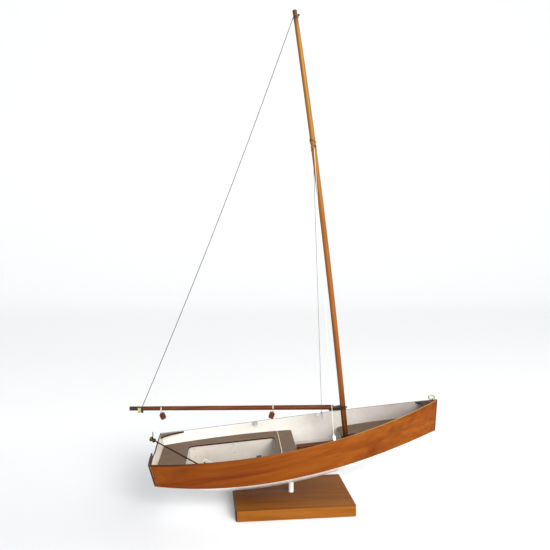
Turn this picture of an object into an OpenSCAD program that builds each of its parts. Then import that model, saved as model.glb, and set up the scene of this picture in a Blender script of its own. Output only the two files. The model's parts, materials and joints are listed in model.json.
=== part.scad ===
// Display model of an open, hard-chine sailing dinghy on a base board.
// Millimetres.  The origin is the centre of the base's underside, +X towards
// the bow, +Y to port, +Z up.  The boat's own parts are drawn in the boat frame
// (origin at the top of the transom, z square to the line from transom to stem)
// and boat() sets them on the stand.

/* [Stand] */
// Length of the base board
base_l = 214; // [190:1:230]
// Width of the base board
base_w = 152; // [140:1:170]
// Thickness of the base board
base_t = 19; // [15:0.5:20]
// Angle between the base board and the keel
base_skew = 2.6; // [0:0.1:4]
// Diameter of the dowel that carries the hull
post_d = 9.6; // [9:0.1:10]
// Distance from the transom's top to the dowel, along the base
post_x = 252.2; // [250:0.1:254]
// Height of the transom's top above the underside of the base
transom_height = 107.3; // [104:0.1:110]
// Bow-up trim of the line from transom to stem
trim = 8.8; // [8:0.1:9]

/* [Hull] */
// Length over all
loa = 534.5; // [524:0.5:540]
// Greatest beam
beam = 212; // [206:1:216]
// Height of the stem, from head to foot
stem_h = 57.7; // [56:0.1:60]
// Fall of the sheer below the line from transom to stem
sheer_sag = 14.6; // [13:0.1:16]
// Thickness of the side planks
side_t = 2.4; // [2:0.1:2.6]
// Thickness of the bottom panels
bottom_t = 2.4; // [2:0.1:2.6]
// Thickness of the transom board
transom_t = 3; // [2.8:0.1:3.4]

/* [Seats] */
// Thickness of the seats and of the mast deck
seat_t = 2.6; // [2:0.1:3]
// Half-breadth of the opening between the side benches
well_half = 56.5; // [54:0.5:58]
// Distance from transom to the open well
well_aft = 55.5; // [54:0.5:58]
// Distance from transom to the aft edge of the thwart
thwart_aft = 222; // [221:0.5:223]
// Distance from transom to the fore edge of the thwart
thwart_fore = 257.5; // [257:0.5:258]
// Distance from transom to the aft edge of the mast deck
deck_aft = 347; // [346:0.5:348]

/* [Spars] */
// Height of the masthead above the sheer line, in the boat frame
mast_top = 747; // [720:1:760]
// Greatest radius of the mast
mast_r = 5.2; // [5:0.1:5.6]
// Length of the boom, from the mast's centre to its aft end
boom_l = 393.5; // [385:0.5:396]
// Radius of the boom at its aft end
boom_r_aft = 3.8; // [3.6:0.1:4]
// Radius of the boom at the jaws
boom_r_fore = 4.5; // [4.3:0.1:4.7]
// Radius of the shroud cord
cord_r = 0.5; // [0.4:0.05:0.55]
// Radius of the wire from the masthead to the boom
wire_r = 0.5; // [0.4:0.05:0.55]

/* [Hidden] */
$fn = 48;

stations = 56;          // slices along a lofted plank
gap = 0.06;             // glue line between fitted pieces
seam = 0.3;             // glue line between planks
run = 0.05;             // radial clearance of a turning fit
joint = 0.5;            // space round a board let in between the planks

varnish = "#a8561c";
dark_varnish = "#6b2c14";
cream = "#ece6da";
seat_paint = "#75675a";
white_paint = "#f4f2ee";
cord_white = "#efe8d6";
brass = "#a98f4a";
steel = "#6e6e6c";

// ---- hull lines -------------------------------------------------------------
transom_rake = 2.8;     // foot of the transom forward of its top
stem_rake = 12;         // foot of the stem aft of its head
side_y = side_t * 1.06; // side plank measured athwartships

// smooth curve steered by the values c, from s = 0 to s = 1
function bezier(c, s) = len(c) == 1 ? c[0]
  : bezier([for (i = [1:len(c) - 1]) c[i - 1] * (1 - s) + c[i] * s], s);
function scaled(k, c) = [for (v = c) k * v];

sheer_half = scaled(beam / 2, [0.838, 1.166, 1.043, 0.022]);
sheer_rise = scaled(-sheer_sag, [0, 1.425, 1.24, 0]);
chine_half = scaled(beam / 2, [0.722, 0.996, 0.908, 0.011]);
chine_rise = scaled(-stem_h, [0.75, 1.43, 1.13, 1]);
keel_rise = scaled(-stem_h, [1.11, 2.38, 1.775, 1.92, 1]);

function sheer_pt(s) = [loa * s, bezier(sheer_half, s), bezier(sheer_rise, s)];
function chine_x(s) = transom_rake + (loa - transom_rake - stem_rake) * s;
function chine_pt(s) = [chine_x(s), bezier(chine_half, s), bezier(chine_rise, s)];
function station(x) = (x - transom_rake) / (loa - transom_rake - stem_rake);

// slope of the bottom across the boat, and its thickness measured upwards
function deadrise(s) = (bezier(chine_rise, s) - bezier(keel_rise, s)) / bezier(chine_half, s);
function bottom_z(s) = bottom_t * sqrt(1 + pow(deadrise(s), 2));
function floor_at(x, y) = let (s = station(x))
  bezier(keel_rise, s) + bottom_z(s) + abs(y) * deadrise(s);

// outer half-breadth of the side at length x and height z
function side_at(x, z, s) = let (
    k = (z - bezier(chine_rise, s)) / (bezier(sheer_rise, s) - bezier(chine_rise, s)),
    fixed = (x - transom_rake * (1 - k)) / ((1 - k) * (loa - transom_rake - stem_rake) + k * loa))
  [fixed, (1 - k) * bezier(chine_half, fixed) + k * bezier(sheer_half, fixed)];
function outer_half(x, z) = side_at(x, z, side_at(x, z, x / loa)[0])[1];
function inner_half(x, z) = outer_half(x, z) - side_y;

// plank ends
s_aft = (transom_t + 0.2) / loa;
s_fore = 1 - 2.5 / loa;
s_stem = 1 - 17.5 / loa;

// ---- planes of the seats and of the mast deck --------------------------------
seat_fall = 3.66;       // the seats are level with the water when she floats
seat_z0 = -22.1;
deck_climb = 4.6;
deck_z0 = -43;
function seat_z(x) = seat_z0 - x * tan(seat_fall);
function deck_z(x) = deck_z0 + (x - deck_aft) * tan(deck_climb);

// ---- backbone ----------------------------------------------------------------
hog_half = 9;
hog_rise = 2;
function hog_top(x) = floor_at(x, hog_half) + hog_rise;

case_aft = 258.5;
case_fore = 343;
case_half = 8.5;
slot_half = 2.2;
slot_aft = 261.5;
slot_fore = 339;
case_post_l = 4;

board_t = 3.4;
board_pivot = [327, 0, -84];
board_reach = 63;       // radius of the board's aft edge about its pivot
board_pin_r = 1.2;

// ---- spars -------------------------------------------------------------------
mast_foot = -41;
mast_heel = 352.7;      // x of the mast's centre at its foot
mast_lean = 0.0576;      // rake at the foot, leaning forward in the boat frame
mast_bend = 27600;      // twice the radius of the mast's bend
function mast_x(z) = mast_heel + mast_lean * (z - mast_foot) - pow(z - mast_foot, 2) / mast_bend;
mast_end = mast_top - 2.5;
function mast_radius(z) = lookup(z, [[mast_foot, mast_r - 0.5], [0, mast_r], [330, mast_r],
  [500, mast_r - 0.2], [650, mast_r - 0.5], [mast_end, mast_r - 1.2]]);
function mast_at(z) = [mast_x(z), 0, z];

hounds = 498;
goose_z = 16;
goose = mast_at(goose_z);
head_z = mast_top - 15.5;
head = mast_at(head_z);
swing_lean = atan2(head[0] - goose[0], head_z - goose_z);

boom_peak = 9.4;        // the boom's aft end stands higher, in the boat frame
function on_boom(d) = goose + [-d * cos(boom_peak), 0, d * sin(boom_peak)];
boom_start = 18;
function boom_radius(d) = boom_r_fore + (boom_r_aft - boom_r_fore) * (d - boom_start) / (boom_l - boom_start);
jaw_t = 5;
jaw_r = mast_r + 0.7;
jaw_tip = 4;            // reach of the jaws forward of the mast's centre
parrel_r = 0.8;

// distances along the boom from the mast's centre
fore_block_at = 132.5;
aft_block_at = 337.5;
wire_at = 370.6;
whipping_at = 375.6;

// sheet blocks
pivot_drop = 8.4;
strop_eye = 1.5;
strop_r = 0.4;
tongue_r = 1.9;
tongue_t = 1.6;
tongue_hole = 1.1;
shell_half = 4.6;        // half-length of the shell fore and aft
shell_h = 11.4;
shell_corner = 2.2;
shell_t = 6.4;
sheave_drop = 6.6;
sheave_r = 3.7;
sheave_t = 2.2;
pin_r = 0.8;
aft_tilt = -14;
fore_tilt = 30;

shroud_x = 322;
deadeye = [5, 2.4, 10];
deadeye_top = -7.7;
rowlock_x = 188.6;
rowlock_pad = [9, 4.5, 6];
rowlock_r = 1.1;

eye_x = 526;
eye_r = 1.9;
eye_wire = 0.55;
ring_r = 6.4;
ring_wire = 0.85;
ring_lean = 55;         // of the ring, to port of upright

tiller_r = 1.25;
tiller_a = [transom_t, 27, 0.8];
tiller_b = [well_aft, -12, seat_z(well_aft) + tiller_r * 1.16];
tiller_dir = (tiller_b - tiller_a) / norm(tiller_b - tiller_a);
tiller_tail = 8;        // length that hangs aft of the transom
tiller_l = 132;

// ---- building blocks ---------------------------------------------------------
module boat() {
  translate([-post_x, 0, transom_height]) rotate([0, -trim, 0]) children();
}

module both() {
  children();
  mirror([0, 1, 0]) children();
}

// solid through a row of closed sections that all have the same number of points
module loft(sections) {
  n = len(sections[0]);
  m = len(sections);
  skin = [for (i = [0:m - 2]) for (j = [0:n - 1]) let (k = (j + 1) % n)
    each [[i * n + j, i * n + k, (i + 1) * n + k], [i * n + j, (i + 1) * n + k, (i + 1) * n + j]]];
  caps = [for (j = [1:n - 2]) each [[0, j + 1, j],
    [(m - 1) * n, (m - 1) * n + j, (m - 1) * n + j + 1]]];
  polyhedron(points = [for (sec = sections) each sec], faces = concat(skin, caps));
}

// round bar from a to b
module bar(a, b, r1, r2) {
  d = b - a;
  translate(a) rotate([0, acos(d[2] / norm(d)), atan2(d[1], d[0])])
    cylinder(h = norm(d), r1 = r1, r2 = r2);
}

module ring(big, small) {
  rotate_extrude() translate([big, 0]) circle(small, $fn = 24);
}

module tube(outer, inner, l) {
  difference() {
    cylinder(h = l, r = outer, center = true);
    cylinder(h = l + 2, r = inner, center = true);
  }
}

// board standing fore and aft: outline in x and z, outboard face at y
module fore_and_aft(y, t, outline) {
  translate([0, y, 0]) rotate([90, 0, 0]) linear_extrude(t) polygon(outline);
}

// board standing athwartships: outline in y and z, aft face at x
module athwart(x, t, outline) {
  translate([x, 0, 0]) rotate([90, 0, 90]) linear_extrude(t) polygon(outline);
}

// flexible line through a row of points, as an eight-sided tube
module line(path, r) {
  sides = 8;
  last = len(path) - 1;
  loft([for (i = [0:last]) let (
      d = path[min(i + 1, last)] - path[max(i - 1, 0)],
      t = d / norm(d),
      u = cross(t, [0.3, 0.2, 1]) / norm(cross(t, [0.3, 0.2, 1])),
      v = cross(t, u))
    [for (j = [0:sides - 1]) path[i] + r * (cos(360 * j / sides) * u + sin(360 * j / sides) * v)]]);
}

module seat_plane() {
  translate([0, 0, seat_z0]) rotate([0, seat_fall, 0]) translate([0, 0, -seat_t]) children();
}

module deck_plane() {
  translate([deck_aft, 0, deck_z0]) rotate([0, -deck_climb, 0]) translate([0, 0, -seat_t]) children();
}

// places children in the frame of the boom: x aft along it from the mast, z up
module boom_frame() {
  translate(goose) rotate([0, boom_peak - 180, 0]) mirror([0, 0, 1]) children();
}

// upright axis that the boom, its wire and its jaws swing about
module swing_frame(z) {
  translate([goose[0] + (z - goose_z) * tan(swing_lean), 0, z]) rotate([0, swing_lean, 0]) children();
}

// ---- stand -------------------------------------------------------------------
socket_depth = 12;
screw_r = 1.7;
screw_l = 26;
post_top = 52.5;

module base_outline() {
  r = 4;
  square([base_l - 2 * r, base_w], center = true);
  square([base_l, base_w - 2 * r], center = true);
  for (sx = [-1, 1]) for (sy = [-1, 1])
    translate([sx * (base_l / 2 - r), sy * (base_w / 2 - r)]) circle(r);
}

module stand_base() {
  color("#9a5a26") rotate(base_skew) difference() {
    linear_extrude(base_t) base_outline();
    translate([0, 0, base_t - socket_depth]) cylinder(h = socket_depth + 1, r = post_d / 2 + run);
    translate([0, 0, -1]) cylinder(h = base_t, r = screw_r + 0.15);
    translate([0, 0, -0.01]) cylinder(h = 2.4, r1 = 4.1, r2 = screw_r + 0.15);
  }
}

module stand_post() {
  foot = base_t - socket_depth;
  color(white_paint) difference() {
    translate([0, 0, foot]) cylinder(h = post_top - foot, r = post_d / 2);
    translate([0, 0, foot - 1]) cylinder(h = screw_l + 1, r = screw_r);
  }
}

module stand_screw() {
  color(steel) difference() {
    union() {
      translate([0, 0, 0.3]) cylinder(h = 2, r1 = 3.7, r2 = screw_r);
      translate([0, 0, 2]) cylinder(h = screw_l, r = screw_r);
    }
    translate([0, 0, 0.5]) cube([5, 0.8, 1.3], center = true);
  }
}

// the dowel's hole through the bottom of the hull, upright on the base
module post_hole() {
  rotate([0, trim, 0]) translate([post_x, 0, -transom_height])
    translate([0, 0, base_t]) cylinder(h = post_top - base_t + 0.5, r = post_d / 2 + run);
}

module peg_block() {
  x = 226;
  l = 21;
  color("#8a6a45") boat() difference() {
    translate([x, -hog_half, hog_top(x + l) + 0.1]) cube([l, 2 * hog_half, 16]);
    post_hole();
  }
}

// ---- hull --------------------------------------------------------------------
function along(s0, s1) = [for (i = [0:stations]) s0 + (s1 - s0) * i / stations];

function side_section(s) = let (c = chine_pt(s), h = sheer_pt(s),
    ci = max(c[1] - side_y, seam), hi = max(h[1] - side_y, seam),
    rise = bottom_z(s) - side_y * deadrise(s))
  [c + [0, 0, seam], h, [h[0], hi, h[2]], [c[0], ci, c[2] + rise + seam]];

function bottom_section(s) = let (c = chine_pt(s), k = bezier(keel_rise, s),
    ci = max(c[1] - side_y, 0.1), rise = bottom_z(s) - side_y * deadrise(s))
  [[c[0], gap / 2, k], c, [c[0], ci, c[2] + rise], [c[0], gap / 2, k + bottom_z(s)]];

module side_plank() {
  loft([for (s = along(s_aft, s_fore)) side_section(s)]);
}

module bottom_panel() {
  difference() {
    loft([for (s = along(s_aft + 1.6 / loa, s_fore)) bottom_section(s)]);
    translate([slot_aft, -slot_half, -130]) cube([slot_fore - slot_aft, 2 * slot_half, 60]);
    post_hole();
  }
}

module port_side() {
  color(varnish) boat() side_plank();
}

module starboard_side() {
  color(varnish) boat() mirror([0, 1, 0]) side_plank();
}

module port_bottom() {
  color(white_paint) boat() bottom_panel();
}

module starboard_bottom() {
  color(white_paint) boat() mirror([0, 1, 0]) bottom_panel();
}

// inner backbone, bedded in the V of the bottom
module hog() {
  x_aft = 9;
  x_fore = 499;
  color("#8a6a45") boat() difference() {
    loft([for (i = [0:stations]) let (x = x_aft + (x_fore - x_aft) * i / stations,
        w = min(hog_half, chine_pt(station(x))[1] * 0.45), top = floor_at(x, w) + hog_rise)
      [[x, -w, top], [x, -w, floor_at(x, w) + gap], [x, 0, floor_at(x, 0) + gap],
       [x, w, floor_at(x, w) + gap], [x, w, top]]]);
    translate([slot_aft, -slot_half, -130]) cube([slot_fore - slot_aft, 2 * slot_half, 60]);
    post_hole();
  }
}

// point on the outside of the side plank, k of the way from chine to sheer
function side_pt(s, k) = chine_pt(s) * (1 - k) + sheer_pt(s) * k;
function other_side(p) = [p[0], -p[1], p[2]];

// stem between chine and sheer, with a rabbet for the ends of the side planks, cut
// away below for the ends of the bottom panels
module stem() {
  slices = 6;
  heel = chine_pt(s_fore) + [seam, 0, bottom_t + 2 * seam];
  reach = 60;
  color(dark_varnish) boat() difference() {
    loft([for (i = [0:slices]) let (k = i / slices,
        nose = side_pt(1, k), lip = side_pt(s_fore + seam / loa, k), root = side_pt(s_stem, k),
        step = [lip[0], max(lip[1] - side_y, 0.1) * 0.4, lip[2]],
        back = [root[0], root[1] - side_y - 1.6, root[2]])
      [nose, lip, step, back, other_side(back), other_side(step), other_side(lip), other_side(nose)]]);
    translate(heel - [reach, reach / 2, reach]) cube(reach);
  }
}

// transom with a shallow hollow in its top, where an oar or a tiller lies.  Its
// starboard half is cut down for a cap.
notch = -26;            // inboard end of the cap
hollow_end = 56;
hollow = 4;
cap_t = 2.4;
function transom_edge(y) = y < notch ? -cap_t - joint
  : (y > hollow_end ? 0 : -hollow * pow(cos(90 * (y - notch) / (hollow_end - notch)), 2));
transom_lean = atan2(transom_rake, -chine_rise[0]);

module transom() {
  steps = 40;
  top = [for (i = [0:steps]) let (y = sheer_half[0] + (notch - sheer_half[0]) * i / steps)
    [y, transom_edge(y)]];
  color("#5f4030") boat() rotate([0, -transom_lean, 0])
    athwart(0, transom_t, concat(top, [[notch - 0.1, transom_edge(notch - 1)],
      [-sheer_half[0], transom_edge(-sheer_half[0])],
      [-chine_half[0], chine_rise[0] * 1.004], [0, keel_rise[0] * 1.004],
      [chine_half[0], chine_rise[0] * 1.004]]));
}

// wedge along the starboard half of the transom's top, proud of it at the inboard end
module transom_cap() {
  wide = 5.2;
  narrow = 2.4;
  set_aft = -3.4;
  side = -sheer_half[0];
  color(seat_paint) boat() translate([0, 0, -cap_t]) linear_extrude(cap_t)
    polygon([[-0.2, side], [transom_t, side], [transom_t, side + side_y + joint],
      [wide, side + side_y + joint], [wide - 1.4, -60], [set_aft + narrow, notch], [set_aft, notch],
      [-2.2, -60]]);
}

// strip in the corner where side and bottom meet
log_w = 5;
function log_section(s) = let (c = chine_pt(s), y = c[1] - side_y - gap - 0.1,
    z = c[2] + bottom_z(s) - (side_y + 0.1) * deadrise(s) + 0.25)
  [[c[0], y, z], [c[0], y + 0.1, z + log_w], [c[0], y - log_w * 0.5, z + log_w * 0.7],
   [c[0], y - log_w, z - log_w * deadrise(s) + 0.05]];

module chine_logs() {
  color("#8a6a45") boat() both()
    loft([for (s = along(s_aft + 0.002, 0.94)) log_section(s)]);
}

// strips that carry the outer edges of the side benches
module seat_risings() {
  w = 3;
  h = 4;
  steps = 24;
  color(cream) boat() both() loft([for (i = [0:steps]) let (
      x = 12 + (thwart_fore - 14) * i / steps, z = seat_z(x) - seat_t - 0.15,
      y = inner_half(x, z - h) - 0.8)
    [[x, y, z], [x, y, z - h], [x, y - w, z - h], [x, y - w, z]]]);
}

// ---- seats -------------------------------------------------------------------
// half-breadth that a seat may fill at length x
function seat_half(x) = inner_half(x, seat_z(x) - seat_t) - joint;

module side_bench() {
  steps = 28;
  x0 = transom_t + 3;
  corner = 6;
  outboard = [for (i = [0:steps]) let (x = x0 + (thwart_fore - corner - x0) * i / steps)
    [x, seat_half(x)]];
  nose = [thwart_fore - corner, seat_half(thwart_fore - corner) - corner];
  rounded = [for (a = [85:-12:1]) nose + corner * [cos(a), sin(a)]];
  color(seat_paint) boat() seat_plane() linear_extrude(seat_t)
    polygon(concat([[x0, well_half + gap]], outboard, rounded,
      [[thwart_fore, nose[1]], [thwart_fore, well_half + gap]]));
}

module port_bench() {
  side_bench();
}

module starboard_bench() {
  mirror([0, 1, 0]) side_bench();
}

// fillet that eases an inner corner of the well, opening towards +x and -y
module corner_fillet(r) {
  difference() {
    translate([0, -r]) square([r, r]);
    translate([r, -r]) circle(r);
  }
}

module stern_bench() {
  x0 = transom_t + 3;
  r = 10;
  color(seat_paint) boat() seat_plane() linear_extrude(seat_t) {
    translate([x0, -well_half]) square([well_aft - x0, 2 * well_half]);
    for (m = [0, 1]) mirror([0, m]) translate([well_aft - 0.01, well_half]) corner_fillet(r);
  }
}

module centre_thwart() {
  r = 7;
  color(seat_paint) boat() seat_plane() linear_extrude(seat_t) {
    translate([thwart_aft, -well_half]) square([thwart_fore - thwart_aft, 2 * well_half]);
    for (m = [0, 1]) mirror([0, m]) translate([thwart_aft + 0.01, well_half])
      mirror([1, 0]) corner_fillet(r);
  }
}

front_t = 2;
front_set = 1;          // the fronts stand back under the edge of the seats
front_gap = 0.2;

module bench_front() {
  steps = 16;
  x0 = well_aft - front_set;
  x1 = thwart_aft + front_set;
  y = well_half + front_set + front_t;
  low = [for (i = [0:steps]) let (x = x0 + (x1 - x0) * i / steps) [x, floor_at(x, y) + front_gap]];
  color(cream) boat() fore_and_aft(y, front_t, concat(low,
    [[x1, seat_z(x1) - seat_t - gap - 0.1], [x0, seat_z(x0) - seat_t - gap - 0.1]]));
}

module side_bench_fronts() {
  bench_front();
  mirror([0, 1, 0]) bench_front();
}

// panel across the well from floor to seat, notched over the hog
module cross_front(x) {
  w = well_half + front_set - gap;
  foot = max(floor_at(x, w), floor_at(x + front_t, w)) + front_gap;
  inner = max(floor_at(x, hog_half + 0.3), floor_at(x + front_t, hog_half + 0.3)) + front_gap;
  over = max(hog_top(x), hog_top(x + front_t)) + front_gap;
  top = seat_z(x + front_t) - seat_t - gap - 0.1;
  h = hog_half + 0.3;
  athwart(x, front_t, [[w, top], [w, foot], [h, inner], [h, over], [-h, over], [-h, inner],
    [-w, foot], [-w, top]]);
}

module stern_bench_front() {
  color(cream) boat() cross_front(well_aft - front_set - front_t);
}

module thwart_bulkhead() {
  color("#9aa08c") boat() cross_front(thwart_aft + front_set + 0.1);
}

// ---- mast deck ---------------------------------------------------------------
module mast_deck() {
  steps = 26;
  x1 = loa * s_stem - 9.5;
  l = x1 - deck_aft;
  corner = 6;
  edge = [for (i = [1:steps]) let (x = deck_aft + corner + (l - corner) * i / steps)
    [(x - deck_aft) / cos(deck_climb), inner_half(x, deck_z(x) - seat_t) - joint]];
  nose = [corner, inner_half(deck_aft + corner, deck_z(deck_aft) - seat_t) - joint - corner];
  rounded = [for (a = [180:-15:100]) nose + corner * [cos(a), sin(a)]];
  half = concat([[0, 0]], rounded, edge, [[edge[steps - 1][0], 0]]);
  color(seat_paint) boat() deck_plane() linear_extrude(seat_t) {
    polygon(half);
    mirror([0, 1]) polygon(half);
  }
}

module deck_bulkhead() {
  x = deck_aft + 1;
  z = deck_z0 - seat_t - 0.2;
  low = -chine_pt(station(x))[1];
  c = chine_pt(station(x + front_t));
  y = c[1] - side_y - 0.4;
  h = hog_half + 0.3;
  cut = log_w + 2.2;    // clears the chine logs
  foot = floor_at(x, y - cut) + 0.4;
  side = [[inner_half(x + front_t, z) - joint, z], [y, c[2] + cut + 1.5], [y - cut, foot],
    [h, floor_at(x, h) + 0.4], [h, hog_top(x) + 0.4]];
  color("#b9b6ae") boat() athwart(x, front_t,
    concat(side, [for (i = [len(side) - 1:-1:0]) [-side[i][0], side[i][1]]]));
}

// ---- small nails in the seat fronts --------------------------------------------
nail_r = 0.35;
nail_head = 0.7;

module nail() {
  cylinder(h = 0.3, r = nail_head, $fn = 16);
  translate([0, 0, -front_t]) cylinder(h = front_t + 0.1, r = nail_r, $fn = 16);
}

module panel_pins() {
  face = well_half + front_set;
  color(steel) boat() {
    both() for (x = [64, 140, 216]) for (drop = [5, 20])
      translate([x, face, seat_z(x) - seat_t - drop]) rotate([90, 0, 0]) nail();
    for (y = [-40, 0, 40])
      translate([well_aft - front_set, y, seat_z(well_aft) - seat_t - 5]) rotate([0, 90, 0]) nail();
  }
}

// ---- knees -------------------------------------------------------------------
knee_t = 3;
function knee_z(x) = sheer_pt(x / loa)[2];

// flat knee in the port quarter: arm_x along the side, arm_y along the transom
module quarter_knee() {
  arm_x = 46;
  arm_y = 24;
  steps = 12;
  x0 = transom_t + 0.7;
  fall = atan2(-knee_z(arm_x), arm_x);
  outer = [for (i = [0:steps]) let (x = x0 + (arm_x - x0) * i / steps)
    [x, inner_half(x, knee_z(x) - knee_t) - joint]];
  heel = outer[0][1];
  bow = [for (i = [1:steps - 1]) let (k = i / steps, a = 1 - k)
    a * a * [arm_x, outer[steps][1] - 1.5] + 2 * a * k * [x0 + 9, heel - 8] + k * k * [x0 + 2, heel - arm_y]];
  color(seat_paint) boat() rotate([0, fall, 0]) translate([0, 0, -knee_t - 0.1]) linear_extrude(knee_t)
    polygon(concat(outer, [[arm_x, outer[steps][1] - 1.5]], bow, [[x0 + 2, heel - arm_y], [x0, heel - arm_y]]));
}

module breasthook() {
  steps = 10;
  x0 = 485;
  x1 = loa * s_stem - 1.4;
  climb = atan2(knee_z(x1) - knee_z(x0), x1 - x0);
  edge = [for (i = [0:steps]) let (x = x0 + (x1 - x0) * i / steps)
    [(x - x0) / cos(climb), inner_half(x, knee_z(x) - knee_t) - joint]];
  color(seat_paint) boat() translate([x0, 0, knee_z(x0)]) rotate([0, -climb, 0])
    translate([0, 0, -knee_t]) linear_extrude(knee_t) difference() {
      polygon(concat(edge, [for (i = [steps:-1:0]) [edge[i][0], -edge[i][1]]]));
      translate([-13, 0]) circle(24);
    }
}

// ---- centreboard and its case --------------------------------------------------
case_t = case_half - slot_half;
function case_top(x) = seat_z(x) - seat_t - 0.15;

module case_cheek() {
  steps = 12;
  low = [for (i = [0:steps]) let (x = case_aft + (case_fore - case_aft) * i / steps) [x, hog_top(x) + 0.15]];
  boat() difference() {
    fore_and_aft(case_half, case_t, concat(low,
      [[case_fore, case_top(case_fore)], [case_aft, case_top(case_aft)]]));
    translate(board_pivot + [0, case_half, 0]) rotate([90, 0, 0])
      translate([0, 0, -1]) cylinder(h = 2 * case_half + 2, r = board_pin_r);
  }
}

module case_port_cheek() {
  color(dark_varnish) case_cheek();
}

module case_starboard_cheek() {
  color(dark_varnish) mirror([0, 1, 0]) case_cheek();
}

module case_posts() {
  w = 2 * (slot_half - gap);
  color(dark_varnish) boat() for (x = [case_aft, case_fore - case_post_l]) {
    z = max(hog_top(x), hog_top(x + case_post_l)) + 0.3;
    top = case_top(x + case_post_l);
    translate([x, -w / 2, z]) cube([case_post_l - 1.2, w, top - z]);
  }
}

module centreboard() {
  fore = 7;
  low = -14;
  high = 34;
  color("#7a4a26") boat() translate(board_pivot) rotate([90, 0, 0]) difference() {
    linear_extrude(board_t, center = true) intersection() {
      circle(board_reach, $fn = 96);
      translate([-board_reach, low]) square([board_reach + fore, high - low]);
    }
    cylinder(h = board_t + 2, r = board_pin_r + run, center = true);
  }
}

module centreboard_pin() {
  color(brass) boat() translate(board_pivot) rotate([90, 0, 0])
    cylinder(h = 2 * case_half - 0.4, r = board_pin_r, center = true);
}

// ---- mast and its gear ---------------------------------------------------------
step_w = 9;
step_x = [-8, 18];      // ends of the step, from the mast's heel
step_h = 3.6;

module mast_step() {
  heel = mast_at(mast_foot + 1);
  color("#3a2a22") boat() difference() {
    translate([heel[0], 0, deck_z(heel[0]) + 0.1]) rotate([0, -deck_climb, 0])
      translate([0, step_w / 2, 0]) rotate([90, 0, 0]) linear_extrude(step_w)
        translate([step_x[0], 0]) square([step_x[1] - step_x[0], step_h]);
    translate([mast_heel, 0, mast_foot - 0.8]) rotate([0, atan(mast_lean), 0])
      cylinder(h = 20, r = mast_r + 0.3);
  }
}

module mast() {
  slices = 24;
  sides = 36;
  color("#c77a2c") boat() loft([for (i = [0:slices])
    let (z = mast_foot + (mast_end - mast_foot) * i / slices, r = mast_radius(z))
    [for (j = [0:sides - 1]) mast_at(z) + r * [cos(360 * j / sides), sin(360 * j / sides), 0]]]);
}

module masthead_truck() {
  r = mast_radius(mast_end);
  color("#80695a") boat() translate(mast_at(mast_end + gap)) rotate_extrude() intersection() {
    translate([0, -r * 1.5]) circle(r * 1.9);
    square([r, 4]);
  }
}

module masthead_pin() {
  at = mast_at(mast_top - 11.5);
  color("#3c2c28") boat() translate(at + [mast_radius(at[2]) - 1, 0, 0]) {
    rotate([0, 80, 0]) cylinder(h = 3, r = 0.7);
    translate([3.1, 0, 0.5]) sphere(1.9);
  }
}

module hounds_lashing() {
  turns = 4;
  color(cord_white) boat() for (i = [0:turns - 1]) let (z = hounds + (i - 1) * 1.3)
    translate(mast_at(z)) rotate([0, 1.5, 0]) ring(mast_radius(z) + 0.55, 0.5);
}

deadeye_y = inner_half(shroud_x - 3, deadeye_top - deadeye[2]) - 1.4 - deadeye[1] / 2;
deadeye_hole = deadeye_top - 2.2;
loop_r = 2.6;

module shroud() {
  foot = [shroud_x, deadeye_y, deadeye_hole + 2 * loop_r];
  top = mast_at(hounds) + [0, mast_radius(hounds) + 1.6, 0];
  boat() {
    bar(foot, top, cord_r, cord_r);
    translate([shroud_x, deadeye_y, deadeye_hole + loop_r]) rotate([0, 90, 0]) ring(loop_r, cord_r);
  }
}

module port_shroud() {
  color(cord_white) shroud();
}

module starboard_shroud() {
  color(cord_white) mirror([0, 1, 0]) shroud();
}

module shroud_deadeyes() {
  color(white_paint) boat() both() difference() {
    translate([shroud_x, deadeye_y, deadeye_top - deadeye[2] / 2]) cube(deadeye, center = true);
    translate([shroud_x, deadeye_y, deadeye_hole]) rotate([90, 0, 0])
      cylinder(h = 6, r = 0.95, center = true);
  }
}

// ---- fittings on the gunwale ---------------------------------------------------
rowlock_y = inner_half(rowlock_x + rowlock_pad[0] / 2, -15 - rowlock_pad[2]) - 0.4 - rowlock_pad[1] / 2;
rowlock_top = knee_z(rowlock_x) + 0.4;

module rowlock_pads() {
  color("#8f8a82") boat() both() translate([rowlock_x, rowlock_y, rowlock_top - rowlock_pad[2] / 2])
    difference() {
      cube(rowlock_pad, center = true);
      cylinder(h = rowlock_pad[2] + 2, r = rowlock_r, center = true);
    }
}

eye_z = knee_z(eye_x) + eye_r + 0.5;

module bow_eye() {
  color(brass) boat() translate([eye_x, 0, eye_z]) {
    rotate([0, 90, 0]) ring(eye_r, eye_wire);
    translate([0, 0, -eye_r - 6]) cylinder(h = 6, r = eye_wire);
  }
}

module bow_ring() {
  color(brass) boat() translate([eye_x, 0, eye_z]) rotate([-ring_lean, 0, 0])
    translate([0, 0, ring_r]) rotate([90, 0, 0]) ring(ring_r, ring_wire);
}

// ---- boom and its gear ---------------------------------------------------------
module boom() {
  color("#7e3f1f") boat() bar(on_boom(boom_start), on_boom(boom_l), boom_r_fore, boom_r_aft);
}

// fork that straddles the mast, scarfed to the fore end of the boom
module boom_jaws() {
  root = 27;
  arm = 3;
  color("#4d443e") boat() difference() {
    swing_frame(goose_z) linear_extrude(jaw_t, center = true) difference() {
      union() {
        circle(jaw_r + arm);
        polygon([[0, jaw_r + arm], [-jaw_r - 4, boom_r_fore + 3.4], [-root, boom_r_fore - 0.6],
          [-root, -boom_r_fore + 0.6], [-jaw_r - 4, -boom_r_fore - 3.4], [0, -jaw_r - arm]]);
      }
      circle(jaw_r);
      translate([jaw_tip, -20]) square(40);
    }
    bar(on_boom(boom_start - 0.3), on_boom(boom_l), boom_r_fore + 0.02, boom_r_aft + 0.02);
  }
}

module parrel() {
  color("#2e2622") boat() swing_frame(goose_z - 0.6) difference() {
    ring(jaw_r + 1.5, parrel_r);
    translate([-20 + jaw_tip + gap, 0, 0]) cube([40, 40, 4], center = true);
  }
}

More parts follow.
